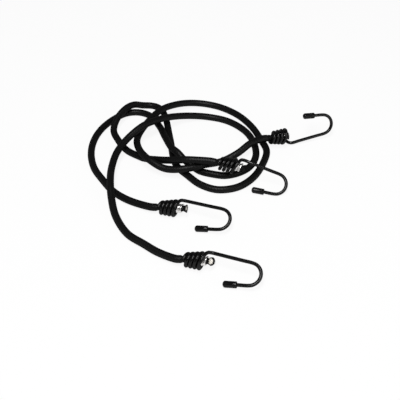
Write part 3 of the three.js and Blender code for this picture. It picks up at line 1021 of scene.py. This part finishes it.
# %% Bright zinc
bright_zinc = Finish("bright_zinc")
spangle = bright_zinc.add(
    "ShaderNodeTexVoronoi", {"feature": "F1"}, Vector=bright_zinc.place(), Scale=900.0)
streaks = bright_zinc.noise(bright_zinc.place(), scale=2600, detail=5.0)
zinc_stops = ((0, grey(0.86, 0.01)), (1, grey(0.66, 0.012)))
bright_zinc.surface(
    Base_Color=bright_zinc.ramp(spangle.output("Distance"), *zinc_stops),
    Metallic=1.0,
    Roughness=0.2 + streaks * 0.2,
    Normal=bright_zinc.bump(streaks, distance=0.04 * MM, strength=0.5),
)
dress(crimp_pieces, bright_zinc.material)

# %% [markdown]
# The rubber is natural latex: pale cream, matte, and a little uneven where it was cut.

# %% Natural latex
natural_latex = Finish("natural_latex")
cut_marks = natural_latex.noise(natural_latex.place(), scale=1800, detail=4.0)
latex_stops = ((0.3, (0.82, 0.78, 0.7)), (0.7, (0.93, 0.91, 0.86)))
natural_latex.surface(
    Base_Color=natural_latex.ramp(cut_marks, *latex_stops),
    Roughness=0.55 + cut_marks * 0.25,
    Normal=natural_latex.bump(cut_marks, distance=0.1 * MM, strength=0.6),
)
dress(bundle_pieces, natural_latex.material)

# %% [markdown]
# The picture's background is plain white with only a trace of shadow. The floor is pale and takes the
# object's shadow, and where the camera or a reflection sees it, most of its colour comes from an even
# white glow of strength 1.

# %% Floor
FLOOR_SIZE = 12.0
SHADOW_SHARE = 0.1


def seen_rays(graph):
    """1 where the camera, a reflection or a see-through surface looks, and 0 for light itself."""
    ray = graph.add("ShaderNodeLightPath", {})
    seen = ray.output("Is Camera Ray").math("MAXIMUM", ray.output("Is Glossy Ray"))
    return seen.math("MAXIMUM", ray.output("Is Transmission Ray"))


half = FLOOR_SIZE / 2
corners = [(-half, -half, 0), (half, -half, 0), (half, half, 0), (-half, half, 0)]
floor = link_mesh("floor", corners, [(0, 1, 2, 3)])

white_floor = Finish("white_floor")
white_floor.surface(Base_Color=(*grey(0.95), 1), Roughness=1.0, Specular_IOR_Level=0.0)
glow = white_floor.add("ShaderNodeEmission", {}, Color=(*grey(1), 1), Strength=1.0)
lit = Signal(white_floor, white_floor.shader.outputs["BSDF"])
glow_share = seen_rays(white_floor) * (1 - SHADOW_SHARE)
mixed = white_floor.add("ShaderNodeMixShader", {}, glow_share, lit, glow)
white_floor.feed(white_floor.tree.nodes["Material Output"].inputs["Surface"], mixed)
floor.data.materials.append(white_floor.material)
print("floor", FLOOR_SIZE, "m wide, with a shadow share of", SHADOW_SHARE)

# %% [markdown]
# The room about the floor is the world. It has white walls low down and a dim ceiling, so that the lamps
# stand out in the gloss, and its light on the object stays at a plain level.

# %% Room
WALL_FOOT = 0.08
WALL_TOP = 0.4
CEILING_LEVEL = 0.15

world = bpy.data.worlds.new("white_room")
bpy.context.scene.world = world
world.use_nodes = True
room = Graph(world.node_tree)
height = room.add("ShaderNodeSeparateXYZ", {}, room.place("Generated")).output("Z")
room_colour = room.ramp(height, (WALL_FOOT, grey(1)), (WALL_TOP, grey(CEILING_LEVEL)))
room.feed(world.node_tree.nodes["Background"].inputs["Color"], room_colour)
print("walls fade from", WALL_FOOT, "to", WALL_TOP, "up to a ceiling level of", CEILING_LEVEL)

# %% [markdown]
# A long lamp hangs overhead, a little to the front, and runs from the back to the front. It draws one
# pale streak along the top of each strand and wire and leaves its sides black. A weaker square one
# lights the cut ends from the right.

# %% Lamps
def soft_lamp(name, place, width, length, power):
    data = bpy.data.lights.new(name, "AREA")
    data.shape = "RECTANGLE"
    data.size = width
    data.size_y = length
    data.energy = power
    lamp = bpy.data.objects.new(name, data)
    lamp.location = place
    lamp.rotation_euler = Vector(place).to_track_quat("Z", "Y").to_euler()
    bpy.context.scene.collection.objects.link(lamp)
    return lamp


lamps = [
    soft_lamp("main_lamp", place=(-0.15, -0.45, 1.25), width=0.3, length=0.9, power=14),
    soft_lamp("side_lamp", place=(0.9, -0.7, 0.6), width=0.7, length=0.7, power=3),
]
bpy.context.scene.view_settings.view_transform = "Standard"
print(len(lamps), "lamps of", sum(lamp.data.energy for lamp in lamps), "W together")
